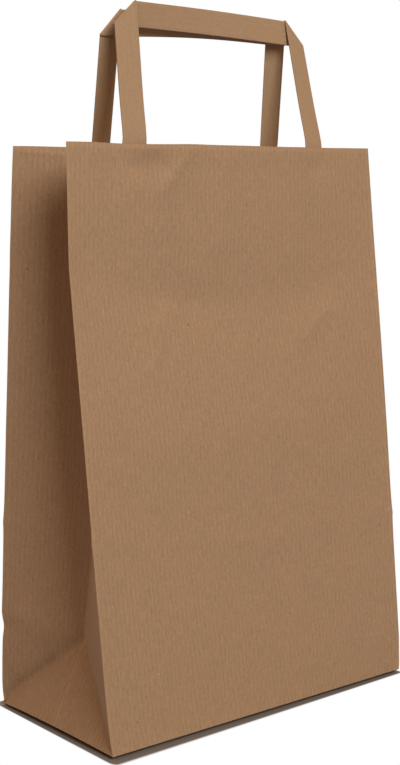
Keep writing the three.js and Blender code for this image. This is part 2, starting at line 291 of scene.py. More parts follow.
def nearMark(u, z, mark):  # 1 at its place, fading over its size
    across = sheetGap(u, mark["at"][0]) / mark["size"][0]
    up = (z / mm - mark["at"][1]) / mark["size"][1]
    return bell(np.hypot(across, up))


def relief(u, z):
    total = np.zeros(np.broadcast(u, z).shape)
    for dent in dents:
        total += dent["rise"] * nearMark(u, z, dent)
    for tilt in tilts:
        across = sheetGap(u, tilt["at"][0])
        total += math.tan(math.radians(tilt["turn"])) * across * nearMark(u, z, tilt)
    for crease in creases:
        run = np.subtract(crease["to"], crease["from"])
        across = sheetGap(u, crease["from"][0])
        up = z / mm - crease["from"][1]
        share = np.clip((across * run[0] + up * run[1]) / (run @ run), 0, 1)
        far = np.hypot(across - share * run[0], up - share * run[1])
        total += crease["rise"] * np.exp(-far / crease["width"])
    return total * mm


def drift(u, z):
    total = np.zeros((*np.broadcast(u, z).shape, 3))
    for move in moves:
        total += nearMark(u, z, move)[..., None] * np.array(move["by"])
    return total * np.clip(z / bag["heldBase"], 0, 1)[..., None] * mm


def foldedWall(u, z):  # folds rounded by averaging close by
    total = 0
    spread = np.linspace(-1, 1, 5) * bag["foldRadius"]
    for du in spread:
        for dz in spread[::2]:
            total = total + wall(u + du, z + dz)
    return total / (len(spread) * len(spread[::2]))


def outwardAt(u, z):
    step = bag["normalStep"]
    across = foldedWall(u + step, z) - foldedWall(u - step, z)
    up = foldedWall(u, z + step) - foldedWall(u, z - step)
    return unit(np.cross(across, up))


def sheetPoint(u, z, depth=0.0):  # a place in the sheet, some way in from its outer face
    u, z = np.broadcast_arrays(np.asarray(u, float), np.asarray(z, float))
    return foldedWall(u, z) + drift(u, z) + outwardAt(u, z) * (relief(u, z) - depth)[..., None]


def spacedFolds(length, step, radius, extra=()):  # closer columns at both folds of a panel
    near = np.array([0, 0.35, 0.8, 1.4]) * radius
    inner = np.linspace(2.4 * radius, length - 2.4 * radius, max(2, round(length / step)))
    stops = [*near, *inner, *(length - near), *extra]
    return np.unique(np.round(stops, 7))


def newPiece(name, verts, faces, uv=None, values=None):
    mesh = bpy.data.meshes.new(name)
    mesh.from_pydata(np.asarray(verts).tolist(), [], [list(map(int, f)) for f in faces])
    if uv is not None:
        layer = mesh.uv_layers.new(name="sheet")
        layer.data.foreach_set("uv", np.asarray(uv, np.float32).ravel())
    for key, data in (values or {}).items():
        mesh.attributes.new(key, "FLOAT", "POINT").data.foreach_set("value", np.asarray(data, np.float32))
    mesh.update()
    piece = bpy.data.objects.new(name, mesh)
    bpy.context.scene.collection.objects.link(piece)
    return piece


def addNode(tree, kind, place=(0, 0), **settings):
    node = tree.nodes.new(kind)
    node.location = place
    for key, value in settings.items():
        setattr(node, key, value)
    return node


def setInputs(node, **values):
    for key, value in values.items():
        node.inputs[key.replace("_", " ")].default_value = value
    return node


def compute(tree, operation, place, *values, kind="ShaderNodeMath"):  # sockets are linked, numbers set
    node = addNode(tree, kind, place, operation=operation)
    for socket, value in zip(node.inputs, values):
        if isinstance(value, bpy.types.NodeSocket):
            tree.links.new(value, socket)
        else:
            socket.default_value = value
    return node


# a thin sheet with slack in it, thickened inwards
def paperTree():
    tree = bpy.data.node_groups.new("paperSheet", "GeometryNodeTree")
    ports = tree.interface
    ports.new_socket("Geometry", in_out="OUTPUT", socket_type="NodeSocketGeometry")
    ports.new_socket("Geometry", in_out="INPUT", socket_type="NodeSocketGeometry")
    for name in ("Thickness", "Wave Height", "Wave Size", "Cockle Height", "Cockle Size"):
        ports.new_socket(name, in_out="INPUT", socket_type="NodeSocketFloat")
    ports.new_socket("Seed", in_out="INPUT", socket_type="NodeSocketInt")
    ports.new_socket("Finish", in_out="INPUT", socket_type="NodeSocketMaterial")
    source = addNode(tree, "NodeGroupInput", (-1400, 0))
    sink = addNode(tree, "NodeGroupOutput", (1200, 0))
    link = tree.links.new

    slack = addNode(tree, "GeometryNodeInputNamedAttribute", (-1400, -300), data_type="FLOAT")
    slack.inputs["Name"].default_value = "slack"
    place = addNode(tree, "GeometryNodeInputPosition", (-1400, -500))
    normal = addNode(tree, "GeometryNodeInputNormal", (-700, -500))
    heights = []
    for row, word in enumerate(("Wave", "Cockle")):
        level = -250 - 300 * row
        scale = compute(tree, "DIVIDE", (-1150, level), 1, source.outputs[word + " Size"])
        cloud = addNode(tree, "ShaderNodeTexNoise", (-950, level), noise_dimensions="4D")
        setInputs(cloud, Detail=1.5 + row, Roughness=0.45)
        link(place.outputs["Position"], cloud.inputs["Vector"])
        link(scale.outputs[0], cloud.inputs["Scale"])
        link(source.outputs["Seed"], cloud.inputs["W"])
        even = compute(tree, "SUBTRACT", (-750, level), cloud.outputs[0], 0.5)
        tall = compute(tree, "MULTIPLY", (-550, level), even.outputs[0], source.outputs[word + " Height"])
        heights.append(tall.outputs[0])
    both = compute(tree, "ADD", (-350, -300), *heights)
    loose = compute(tree, "MULTIPLY", (-180, -300), both.outputs[0], slack.outputs["Attribute"])
    shift = addNode(tree, "ShaderNodeVectorMath", (0, -300), operation="SCALE")
    link(normal.outputs["Normal"], shift.inputs[0])
    link(loose.outputs[0], shift.inputs["Scale"])
    moved = addNode(tree, "GeometryNodeSetPosition", (180, 0))
    link(source.outputs["Geometry"], moved.inputs["Geometry"])
    link(shift.outputs[0], moved.inputs["Offset"])

    inwards = compute(tree, "MULTIPLY", (180, -300), source.outputs["Thickness"], -1)
    thick = addNode(tree, "GeometryNodeExtrudeMesh", (360, -150), mode="FACES")
    thick.inputs["Individual"].default_value = False
    link(moved.outputs[0], thick.inputs["Mesh"])
    link(inwards.outputs[0], thick.inputs["Offset Scale"])
    turned = addNode(tree, "GeometryNodeFlipFaces", (540, -150))
    link(thick.outputs["Mesh"], turned.inputs["Mesh"])
    joined = addNode(tree, "GeometryNodeJoinGeometry", (700, 0))
    link(turned.outputs[0], joined.inputs[0])
    link(moved.outputs[0], joined.inputs[0])
    welded = addNode(tree, "GeometryNodeMergeByDistance", (800, 0))
    welded.inputs["Distance"].default_value = 1e-6
    link(joined.outputs[0], welded.inputs["Geometry"])
    smooth = addNode(tree, "GeometryNodeSetShadeSmooth", (900, 0))
    link(welded.outputs[0], smooth.inputs[0])
    real = addNode(tree, "GeometryNodeRealizeInstances", (1000, 0))
    link(smooth.outputs[0], real.inputs[0])
    finish = addNode(tree, "GeometryNodeSetMaterial", (1100, 0))
    link(real.outputs[0], finish.inputs["Geometry"])
    link(source.outputs["Finish"], finish.inputs["Material"])
    link(finish.outputs[0], sink.inputs[0])
    return tree


def bake(piece, tree, values):
    modifier = piece.modifiers.new(tree.name, "NODES")
    modifier.node_group = tree
    for socket in tree.interface.items_tree:
        if socket.in_out == "INPUT" and socket.name in values:
            modifier[socket.identifier] = values[socket.name]
    piece.update_tag()
    graph = bpy.context.evaluated_depsgraph_get()
    graph.update()
    made = bpy.data.meshes.new_from_object(
        piece.evaluated_get(graph), preserve_all_data_layers=True, depsgraph=graph
    )
    piece.modifiers.clear()
    piece.data = made
    made.name = piece.name
    return piece


# kraft paper: ribs along the sheet, fibres, clouds, flecks, and paler folds that are partly wear and partly
# painted highlight
def kraftFinish(name, look):
    material = bpy.data.materials.new(name)
    material.use_nodes = True
    tree = material.node_tree
    tree.nodes.clear()
    link = tree.links.new
    out = addNode(tree, "ShaderNodeOutputMaterial", (900, 0))
    shader = addNode(tree, "ShaderNodeBsdfPrincipled", (600, 0))
    shader.inputs["Roughness"].default_value = look["roughness"]
    shader.inputs["Specular IOR Level"].default_value = look["specular"]
    link(shader.outputs[0], out.inputs["Surface"])
    sheetMap = addNode(tree, "ShaderNodeUVMap", (-1500, 0), uv_map="sheet")

    def pattern(kind, stretch, place, **values):
        fit = addNode(tree, "ShaderNodeMapping", (place[0] - 200, place[1]))
        fit.inputs["Scale"].default_value = stretch
        link(sheetMap.outputs[0], fit.inputs["Vector"])
        texture = addNode(tree, kind, place)
        link(fit.outputs[0], texture.inputs["Vector"])
        return setInputs(texture, **values)

    def sumOf(a, b, share, place):  # a plus share times b
        return compute(tree, "MULTIPLY_ADD", place, b, share, a).outputs[0]

    waveScale = 2 * math.pi / 20 / look["ribPitch"]  # a rib is 2 pi / 20 wide at scale 1
    ribs = pattern("ShaderNodeTexWave", (1, look["ribStretch"], 1), (-1000, 500), Scale=waveScale,
                   Distortion=look["ribWander"], Detail=2.0, Detail_Scale=0.7)
    breaks = pattern("ShaderNodeTexNoise", (1 / look["ribSpread"], 1 / look["ribRun"], 1), (-1000, 750),
                     Scale=1.0, Detail=2.0)
    swing = compute(tree, "SUBTRACT", (-850, 600), ribs.outputs["Fac"], 0.5)
    broken = compute(tree, "MULTIPLY", (-700, 600), swing.outputs[0], breaks.outputs[0])
    offset = 1 - 0.5 * sum(grain["shade"] for grain in look["grains"])
    tone = sumOf(offset, broken.outputs[0], look["ribShade"], (-700, 450))
    height = sumOf(0.0, broken.outputs[0], look["ribHeight"], (-400, 700))
    for number, grain in enumerate(look["grains"]):
        level = 300 - 250 * number
        fit = (1 / grain["across"], 1 / grain["along"], 1)
        cloud = pattern("ShaderNodeTexNoise", fit, (-1000, level), Scale=1.0, Detail=grain["detail"],
                        Roughness=0.6)
        tone = sumOf(tone, cloud.outputs[0], grain["shade"], (-600 + 150 * number, level + 100))
        height = sumOf(height, cloud.outputs[0], grain["height"], (-600 + 150 * number, level + 250))
    # folds and the bottom edge painted paler: partly wear, partly painted highlight
    highlightAndWear = addNode(tree, "ShaderNodeAttribute", (-700, -350), attribute_name="highlightAndWear")
    tone = sumOf(tone, highlightAndWear.outputs["Fac"], look["foldHighlightAndWearShare"], (-250, 200))
    colour = addNode(tree, "ShaderNodeVectorMath", (-80, 200), operation="SCALE")
    colour.inputs[0].default_value = look["colour"]
    link(tone, colour.inputs["Scale"])
    shown = colour.outputs[0]

    for number, fleck in enumerate(look["flecks"]):
        level = -500 - 350 * number
        cells = pattern("ShaderNodeTexVoronoi", (1, fleck["stretch"], 1), (-1000, level),
                        Scale=1 / fleck["spacing"])
        pick = addNode(tree, "ShaderNodeSeparateColor", (-800, level - 100))
        link(cells.outputs["Color"], pick.inputs[0])
        size = addNode(tree, "ShaderNodeMapRange", (-600, level - 100))
        setInputs(size, From_Min=1 - fleck["share"], From_Max=1, To_Min=0,
                  To_Max=fleck["size"] / fleck["spacing"])
        link(pick.outputs[0], size.inputs["Value"])
        inside = compute(tree, "LESS_THAN", (-400, level), cells.outputs["Distance"], size.outputs[0])
        amount = compute(tree, "MULTIPLY", (-240, level), inside.outputs[0], fleck["strength"])
        mixed = addNode(tree, "ShaderNodeMix", (100 + 150 * number, 100), data_type="RGBA")
        mixed.inputs[7].default_value = (*fleck["colour"], 1)
        link(amount.outputs[0], mixed.inputs[0])
        link(shown, mixed.inputs[6])
        shown = mixed.outputs[2]
    link(shown, shader.inputs["Base Color"])

    bump = addNode(tree, "ShaderNodeBump", (350, -200))
    setInputs(bump, Distance=1, Strength=1)
    link(height, bump.inputs["Height"])
    link(bump.outputs[0], shader.inputs["Normal"])
    return material


def linear(red, green, blue):  # paint value from screen levels
    levels = [v / 255 for v in (red, green, blue)]
    return tuple(v / 12.92 if v <= 0.04045 else ((v + 0.055) / 1.055) ** 2.4 for v in levels)


darkFlecks = {"spacing": 10 * mm, "share": 0.3, "size": 0.6 * mm, "stretch": 0.8,
              "strength": 0.6, "colour": linear(84, 56, 36)}
paleFlecks = {"spacing": 19 * mm, "share": 0.25, "size": 0.8 * mm, "stretch": 0.6,
              "strength": 0.5, "colour": linear(198, 168, 134)}
fibres = {"across": 0.8 * mm, "along": 1.9 * mm, "detail": 3.0, "shade": 0.6, "height": 0.02 * mm}
dashes = {"across": 1.1 * mm, "along": 6 * mm, "detail": 2.0, "shade": 0.46, "height": 0.02 * mm}
clouds = {"across": 16 * mm, "along": 22 * mm, "detail": 3.0, "shade": 0.1, "height": 0.0}
sheetLook = {
    "colour": linear(160, 124, 90),
    "roughness": 0.88,
    "specular": 0.25,
    "ribPitch": 3.0 * mm,
    "ribWander": 0.6,
    "ribStretch": 0.05,
    "ribSpread": 7 * mm,  # the ribs come and go over this width and run
    "ribRun": 11 * mm,
    "ribShade": 0.13,
    "ribHeight": 0.05 * mm,
    "grains": [fibres, dashes, clouds],
    "foldHighlightAndWearShare": 0.1,
    "flecks": [darkFlecks, paleFlecks],
}
stripLook = {**sheetLook, "colour": linear(160, 125, 91), "ribPitch": 3.4 * mm, "ribShade": 0.05,
             "ribHeight": 0.016 * mm, "foldHighlightAndWearShare": 0.0,
             "grains": [{**fibres, "shade": 0.4}, {**dashes, "shade": 0.2}, clouds]}
patchLook = {**sheetLook, "colour": linear(162, 126, 92), "ribShade": 0.05, "ribHeight": 0.02 * mm}
ribbedKraft = kraftFinish("ribbedKraft", sheetLook)
handleKraft = kraftFinish("handleKraft", stripLook)
patchKraft = kraftFinish("patchKraft", patchLook)
sheetTree = paperTree()
print("kraft finishes and paper tree ready")


# bag body: one wall of columns and rows, its bottom, and the two bottom flaps
def wallColumns():
    step, radius = bag["columnStep"], bag["foldRadius"]
    edge = 0.06 * mm  # width of the lap's raw edge in the mesh
    lap = [bag["lapStart"] - edge, bag["lapStart"] + edge, bag["lapEnd"], bag["lapEnd"] + bag["lapTaper"]]
    extra = [halfWidth + side * x for x in lap for side in (-1, 1)]
    panel = spacedFolds(bag["width"], step, radius, extra)
    half = spacedFolds(halfDepth, bag["gussetStep"], radius)
    side = np.concatenate([half[:-1], halfDepth + half])
    return panel, side


def lapProud(u):
    x = halfWidth - (u - rightEnd)
    taper = np.clip((bag["lapEnd"] + bag["lapTaper"] - x) / bag["lapTaper"], 0, 1)
    return np.where((x > bag["lapStart"]) & (u > rightEnd) & (u < rearEnd), taper, 0) * bag["lapProud"]


def baseLift(u):  # the bottom edge stands a little off the ground on the gusset side
    left = bag["liftRise"] * bell(sheetGap(u, bag["liftAt"]) / bag["liftWidth"])
    return (left - bag["liftDrop"]) * mm


def roundBase(p, z):  # bottom edge turned in under the wall
    radius = bag["baseRadius"]
    drop = np.clip(radius - (z - bag["floor"]), 0, radius)
    inset = np.where(drop > 0, radius - np.sqrt(radius**2 - drop**2), -bag["sideRoom"])[..., None]
    limit = np.concatenate([halfWidth - inset, halfDepth - inset], axis=-1)
    p[..., :2] = np.clip(p[..., :2], -limit, limit)
    return p


# paler towards the folds and the bottom edge, partly wear and partly a painted highlight
def foldHighlightAndWear(u, z):
    folds = (0, frontEnd, frontEnd + halfDepth, rightEnd, rearEnd, rearEnd + halfDepth)
    near = np.min([np.abs(sheetGap(u, f / mm)) for f in folds], axis=0)
    base = np.exp(-(z - bag["floor"]) / bag["baseHighlightAndWearHeight"])
    return np.exp(-near / bag["highlightAndWearWidth"]) + bag["baseHighlightAndWear"] * base


# glued and folded places are stiffer: shares, and widths and heights in mm
stiff = {"fold": 0.75, "foldWidth": 9, "rimHeight": 58, "rimShare": 0.15, "baseHeight": 25,
         "gussetLeast": 0.35}


def slackAt(u, z):
    folds = (0, frontEnd, rightEnd, rearEnd)
    near = np.min([np.abs(sheetGap(u, f / mm)) for f in folds], axis=0)
    free = 1 - stiff["fold"] * np.exp(-near / stiff["foldWidth"])
    glued = np.clip((bag["rim"] - z) / mm / stiff["rimHeight"] - stiff["rimShare"], 0, 1)
    low = np.clip((z - bag["floor"]) / mm / stiff["baseHeight"], 0, 1)
    side = ((u > frontEnd) & (u < rightEnd)) | (u > rearEnd)
    return free * np.where(side, np.maximum(glued, stiff["gussetLeast"]), glued) * low


def bagSheet():
    panel, side = wallColumns()
    across = np.concatenate([panel[:-1], frontEnd + side[:-1], rightEnd + panel[:-1], rearEnd + side[:-1]])
    radius = bag["baseRadius"]
    low = bag["floor"] + radius * (1 - np.cos(np.linspace(0, math.pi / 2, 5)))
    fine = round((bag["baseZone"] - low[-1]) / bag["baseStep"])
    rows = round((bag["rim"] - bag["baseZone"]) / bag["rowStep"])
    fineLevels = np.linspace(low[-1], bag["baseZone"], fine + 1)
    levels = np.concatenate([low[:-1], fineLevels[:-1], np.linspace(bag["baseZone"], bag["rim"], rows + 1)])
    u, z = np.meshgrid(across, levels)
    p = sheetPoint(u, z)
    p += outwardAt(u, z) * (lapProud(u) * np.clip((z - bag["floor"]) / bag["lapFoot"], 0, 1))[..., None]
    p = roundBase(p, z)
    p[..., 2] += baseLift(u) * np.exp(-(z - bag["floor"]) / bag["liftFade"])
    count = len(across)
    verts = [p.reshape(-1, 3)]
    faces, uv = [], []
    ends = np.append(across, aroundBag)
    for j in range(len(levels) - 1):
        for i in range(count):
            k = (i + 1) % count
            faces.append((j * count + i, j * count + k, (j + 1) * count + k, (j + 1) * count + i))
            uv += [(ends[i], levels[j]), (ends[i + 1], levels[j]),
                   (ends[i + 1], levels[j + 1]), (ends[i], levels[j + 1])]
    values = {"slack": slackAt(u, z).ravel(), "highlightAndWear": foldHighlightAndWear(u, z).ravel()}

    # bottom sheet between the four bottom edges
    ring = np.arange(count)
    a, b = len(panel) - 1, len(side) - 1
    frontRow, rightRow = ring[: a + 1], ring[a : a + b + 1]
    rearRow = ring[a + b : 2 * a + b + 1][::-1]
    leftRow = np.append(ring[2 * a + b :], 0)[::-1]
    edge = p[0]
    s = (panel / bag["width"])[None, :, None]
    t = (side / bag["depth"])[:, None, None]
    corners = [edge[frontRow[0]], edge[frontRow[-1]], edge[rearRow[0]], edge[rearRow[-1]]]
    floor = (1 - t) * edge[frontRow][None] + t * edge[rearRow][None]
    floor = floor + (1 - s) * edge[leftRow][:, None] + s * edge[rightRow][:, None]
    floor = floor - (1 - t) * ((1 - s) * corners[0] + s * corners[1])
    floor = floor - t * ((1 - s) * corners[2] + s * corners[3])
    sag = np.sin(math.pi * s[..., 0]) * np.sin(math.pi * t[..., 0])
    floor[..., 2] = lerp(floor[..., 2], bag["floor"], np.sqrt(np.clip(sag, 0, 1)))
    index = np.full((b + 1, a + 1), -1)
    index[0], index[-1] = frontRow, rearRow
    index[:, 0], index[:, -1] = leftRow, rightRow
    inner = index < 0
    index[inner] = p.reshape(-1, 3).shape[0] + np.arange(inner.sum())
    verts.append(floor[inner])
    for key in values:
        values[key] = np.append(values[key], np.zeros(inner.sum()))
    for j in range(b):
        for i in range(a):
            faces.append((index[j, i], index[j + 1, i], index[j + 1, i + 1], index[j, i + 1]))
            uv += [(panel[n], -side[m]) for n, m in ((i, j), (i, j + 1), (i + 1, j + 1), (i + 1, j))]
    return newPiece("bagBody", np.concatenate(verts), faces, uv, values)


flap = {"paper": 0.12 * mm, "frontDepth": 0.14 * mm, "rearDepth": 0.28 * mm, "curl": 0.12 * mm,
        "curlPower": 6, "rows": 12, "columns": 30}


def bottomFlap(name, facing, depth):  # mitred flap folded under from a long edge
    reach = halfDepth - bag["baseRadius"]
    length = reach + bag["flapLap"]
    rows, cols = flap["rows"], flap["columns"]
    verts, faces, uv = [], [], []
    for r in np.linspace(0, length, rows + 1):
        half = halfWidth - bag["baseRadius"] - r
        for x in np.linspace(-half, half, cols + 1):
            y = facing * (reach - r)
            curl = flap["curl"] * (r / length) ** flap["curlPower"]
            verts.append((x, y, bag["floor"] - depth - curl * (facing < 0)))
    for j in range(rows):
        for i in range(cols):
            a = j * (cols + 1) + i
            face = (a, a + 1, a + cols + 2, a + cols + 1)
            faces.append(face if facing > 0 else face[::-1])
            uv += [(verts[n][0] + halfWidth, verts[n][1] * facing) for n in faces[-1]]
    count = len(verts)
    return newPiece(name, verts, faces, uv, {"slack": np.zeros(count), "highlightAndWear": np.zeros(count)})


def joinInto(piece, *others):
    with bpy.context.temp_override(
        active_object=piece, object=piece, selected_objects=[piece, *others],
        selected_editable_objects=[piece, *others],
    ):
        bpy.ops.object.join()


slackSheet = {"Thickness": bag["paper"], "Wave Height": 1.6 * mm, "Wave Size": 55 * mm,
              "Cockle Height": 0.14 * mm, "Cockle Size": 11 * mm, "Seed": 7, "Finish": ribbedKraft}
flatSheet = {**slackSheet, "Thickness": flap["paper"], "Wave Height": 0.0, "Cockle Height": 0.0}
bagBody = bagSheet()
bake(bagBody, sheetTree, slackSheet)
flaps = [bottomFlap("frontFlap", -1, flap["frontDepth"]), bottomFlap("rearFlap", 1, flap["rearDepth"])]
for piece in flaps:
    bake(piece, sheetTree, flatSheet)
joinInto(bagBody, *flaps)
print("bag body", len(bagBody.data.polygons), "faces")


# handles: flat folded strips, glued inside the panels and turned over at both corners
strip = {
    "width": 13.9 * mm,
    "thickness": 0.8 * mm,
    "spacing": 130.3 * mm,
    "glued": 42 * mm,
    "foldGap": 0.15 * mm,
    "seat": 0.3 * mm,
    "solidPaper": 0.15 * mm,
    "gluedSteps": 10,
    "legSteps": 22,
    "foldSteps": 8,
    "flareSteps": 6,  # from the square end of a leg to the fold
    "barSteps": 44,
    "leavePower": 9,  # how soon a leg straightens above the rim
    "edge": 0.5 * mm,
    "highlightAndWearEdge": 0.9 * mm,
    "closing": 0.1,  # last step round the strip, as a share of its width
}
frontSet = {"facing": -1, "shift": 0.2 * mm, "arch": 0.5 * mm,
            "left": {"rise": 64.3 * mm, "sway": 4.4 * mm, "lean": 12.4 * mm, "twist": 1.7},
            "right": {"rise": 64.0 * mm, "sway": 3.9 * mm, "lean": 20.0 * mm, "twist": 4.2}}
rearSet = {"facing": 1, "shift": 2.8 * mm, "arch": 1.4 * mm,
           "left": {"rise": 60.6 * mm, "sway": -2.4 * mm, "lean": 12.3 * mm, "twist": -1.2},
           "right": {"rise": 61.1 * mm, "sway": -3.7 * mm, "lean": 8.8 * mm, "twist": 4.6}}


def panelU(x, facing):  # place round the sheet of a point across the front or rear panel
    return x + halfWidth if facing < 0 else rightEnd + halfWidth - x


def turned(v, axis, angle):
    along = axis * np.dot(axis, v)
    return along + (v - along) * math.cos(angle) + np.cross(axis, v) * math.sin(angle)


def legSections(place, side):
    facing = place["facing"]
    leg = place["left" if side < 0 else "right"]
    rise, sway, lean = leg["rise"], leg["sway"], leg["lean"]
    middle = place["shift"] + side * strip["spacing"] / 2
    xs = np.array([middle + side * strip["width"] / 2, middle - side * strip["width"] / 2])
    depth = strip["solidPaper"] + strip["seat"] + strip["thickness"] / 2
    sections = []
    for z in np.linspace(bag["rim"] - strip["glued"], bag["rim"], strip["gluedSteps"] + 1):
        u = panelU(xs, facing)
        a, b = sheetPoint(u, z, depth)
        sections.append((a, b, unit(outwardAt(u, np.array([z, z])).sum(0))))
    footA, footB, _ = sections[-1]
    base = (footA + footB) / 2
    climb = math.sqrt(rise**2 - sway**2 - lean**2)
    up = unit(np.array([sway, -facing * lean, climb]))
    flat = footB - footA
    flat = unit(flat - up * np.dot(flat, up))
    turn = math.radians(leg["twist"]) * side * -facing
    leave = unit(footA + footB - sections[-2][0] - sections[-2][1]) - up  # leaves the rim along the panel
    power = strip["leavePower"]
    for i in range(1, strip["legSteps"] + 1):
        share = i / strip["legSteps"]
        rest = 1 - share
        along = unit(up + leave * (rest**power - power * share * rest ** (power - 1)))
        width = turned(flat, up, turn * share)
        width = unit(width - along * np.dot(width, along))
        centre = base + (up + leave * rest**power) * rise * share
        n = unit(np.cross(width, along)) * facing * side
        sections.append((centre - width * strip["width"] / 2, centre + width * strip["width"] / 2, n))
    topA, topB, topN = sections[-1]
    flare = strip["flareSteps"]
    for i in range(1, flare + 1):
        sections.append((topA, topB + up * strip["width"] * i / flare, topN))
    return sections


def foldOver(leg, farCorner):
    a, b, n = leg[-1]
    diagonal = unit(b - a)
    away = np.cross(n, diagonal)
    away = away * np.sign(np.dot(away, a - farCorner))
    barNormal = unit(np.cross(diagonal, farCorner - a))
    barNormal = barNormal * -np.sign(np.dot(barNormal, n))
    sweep = math.atan2(np.dot(barNormal, away), np.dot(barNormal, n)) % (2 * math.pi)
    radius = (strip["thickness"] + strip["foldGap"]) / 2
    for i in range(1, strip["foldSteps"] + 1):
        angle = sweep * i / strip["foldSteps"]
        normal = n * math.cos(angle) + away * math.sin(angle)
        shift = (normal - n) * radius
        leg.append((a + shift, b + shift, normal))


def handleSections(place):
    left = legSections(place, -1)
    right = legSections(place, 1)
    corners = left[-1][0], right[-1][0]
    foldOver(left, corners[1])
    foldOver(right, corners[0])
    startA, startB, startN = left[-1]
    endA, endB, endN = right[-1]
    length = np.linalg.norm(endA - startA)
    flare = strip["flareSteps"]
    bar = []
    for i in range(1, flare):  # the strip widens out of the fold to the square start of the bar
        station = strip["width"] * i / flare / length
        bar.append((lerp(startA, endA, station), startB, unit(lerp(startN, endN, station))))
    for i in range(strip["barSteps"] + 1):
        share = i / strip["barSteps"]
        station = lerp(strip["width"], length - strip["width"], share) / length
        lift = np.array([0, 0, place["arch"] * math.sin(math.pi * share)])
        n = unit(lerp(startN, endN, station))
        bar.append((lerp(startA, endA, station) + lift, lerp(startB, endB, share) + lift, n))
    for i in range(flare - 1, 0, -1):
        station = 1 - strip["width"] * i / flare / length
        bar.append((lerp(startA, endA, station), endB, unit(lerp(startN, endN, station))))
    return left + bar + right[::-1]


def stripProfile():  # closed outline across the strip, as (share across, share through)
    edge = strip["edge"] / strip["width"]
    rim = [(0.5 - edge, 0.5), (0.5 - 0.35 * edge, 0.42), (0.5, 0.22), (0.5 - 0.3 * edge, 0.0),
           (0.5, -0.22), (0.5 - 0.35 * edge, -0.42), (0.5 - edge, -0.5)]
    flat = np.linspace(-0.5 + edge, 0.5 - edge, 9)[1:-1]
    face = [(x, 0.5) for x in flat]
    back = [(x, -0.5) for x in flat[::-1]]
    far = [(-x, -y) for x, y in rim]
    return np.array([*face, *rim, *back, *far])


def handlePiece(name, place):
    profile = stripProfile()
    sections = handleSections(place)
    count = len(profile)
    verts, faces, uv, highlightAndWear, run = [], [], [], [], [0.0]
    for j, (a, b, n) in enumerate(sections):
        for across, through in profile:
            verts.append((a + b) / 2 + (b - a) * across + n * through * strip["thickness"])
            highlightAndWear.append(bell((0.5 - abs(across)) * strip["width"] / strip["highlightAndWearEdge"]))
        if j:
            run.append(run[-1] + np.linalg.norm((a + b - sections[j - 1][0] - sections[j - 1][1]) / 2))
    steps = np.linalg.norm(np.diff(profile, axis=0) * strip["width"], axis=1)
    around = np.concatenate([[0], np.cumsum(steps)])
    closing = around[-1] + strip["width"] * strip["closing"]
    for j in range(len(sections) - 1):
        for i in range(count):
            k = (i + 1) % count
            faces.append((j * count + i, (j + 1) * count + i, (j + 1) * count + k, j * count + k))
            u0, u1 = around[i], around[k] if k else closing
            uv += [(u0, run[j]), (u0, run[j + 1]), (u1, run[j + 1]), (u1, run[j])]
    last = (len(sections) - 1) * count
    faces += [tuple(range(count)), tuple(last + i for i in reversed(range(count)))]
    uv += [(around[i], 0.0) for i in range(count)]
    uv += [(around[i], run[-1]) for i in reversed(range(count))]
    piece = newPiece(name, verts, faces, uv, {"highlightAndWear": highlightAndWear})
    outwards(piece)
    piece.data.materials.append(handleKraft)
    piece.data.polygons.foreach_set("use_smooth", [True] * len(piece.data.polygons))
    return piece


def outwards(piece):  # turn the mesh round where its volume comes out negative
    mesh = piece.data
    mesh.calc_loop_triangles()
    co = np.array([v.co for v in mesh.vertices])
    tri = np.array([t.vertices for t in mesh.loop_triangles])
    volume = np.einsum("ij,ij->", co[tri[:, 0]], np.cross(co[tri[:, 1]], co[tri[:, 2]]))
    if volume < 0:
        mesh.flip_normals()


frontHandle = handlePiece("frontHandle", frontSet)
rearHandle = handlePiece("rearHandle", rearSet)
print("handles", len(frontHandle.data.polygons) + len(rearHandle.data.polygons), "faces")


# patches: sheets over the glued leg ends, inside the panels
patch = {"margin": 12 * mm, "belowRim": 4 * mm, "belowLegs": 6 * mm, "ramp": 3 * mm,
         "paper": 0.15 * mm, "columns": 96, "rows": 24}


def patchPiece(name, place):
    facing = place["facing"]
    legHalf = strip["width"] / 2 + strip["seat"]
    halfSpan = strip["spacing"] / 2 + strip["width"] / 2 + patch["margin"]
    low = strip["solidPaper"] + strip["seat"]
    high = low + strip["thickness"] + strip["seat"]
    x = np.linspace(-halfSpan, halfSpan, patch["columns"] + 1)
    bottomEdge = bag["rim"] - strip["glued"] - patch["belowLegs"]
    z = np.linspace(bottomEdge, bag["rim"] - patch["belowRim"], patch["rows"] + 1)
    gx, gz = np.meshgrid(x, z)
    pastLeg = np.abs(np.abs(gx) - strip["spacing"] / 2) - legHalf
    depth = lerp(high, low, np.clip(pastLeg / patch["ramp"], 0, 1))
    p = sheetPoint(panelU(gx + place["shift"], facing), gz, depth)
    wide = patch["columns"] + 1
    faces, uv = [], []
    for j in range(patch["rows"]):
        for i in range(patch["columns"]):
            a = j * wide + i
            face = (a, a + 1, a + wide + 1, a + wide)
            faces.append(face if facing < 0 else face[::-1])
            uv += [(gx.ravel()[n], gz.ravel()[n]) for n in faces[-1]]
    piece = newPiece(name, p.reshape(-1, 3), faces, uv,
                     {"slack": np.zeros(gx.size), "highlightAndWear": np.zeros(gx.size)})
    return bake(piece, sheetTree, {**flatSheet, "Thickness": patch["paper"], "Finish": patchKraft})


frontPatch = patchPiece("frontHandlePatch", frontSet)
rearPatch = patchPiece("rearHandlePatch", rearSet)
print("patches ready")

for piece, node, slot in (
    (bagBody, "bag_body", "ribbed_kraft"),
    (frontHandle, "front_handle", "handle_kraft"),
    (rearHandle, "rear_handle", "handle_kraft"),
    (frontPatch, "front_handle_patch", "patch_kraft"),
    (rearPatch, "rear_handle_patch", "patch_kraft"),
):
    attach(piece, "root")
    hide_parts(node)
print("pieces ride on the frame")


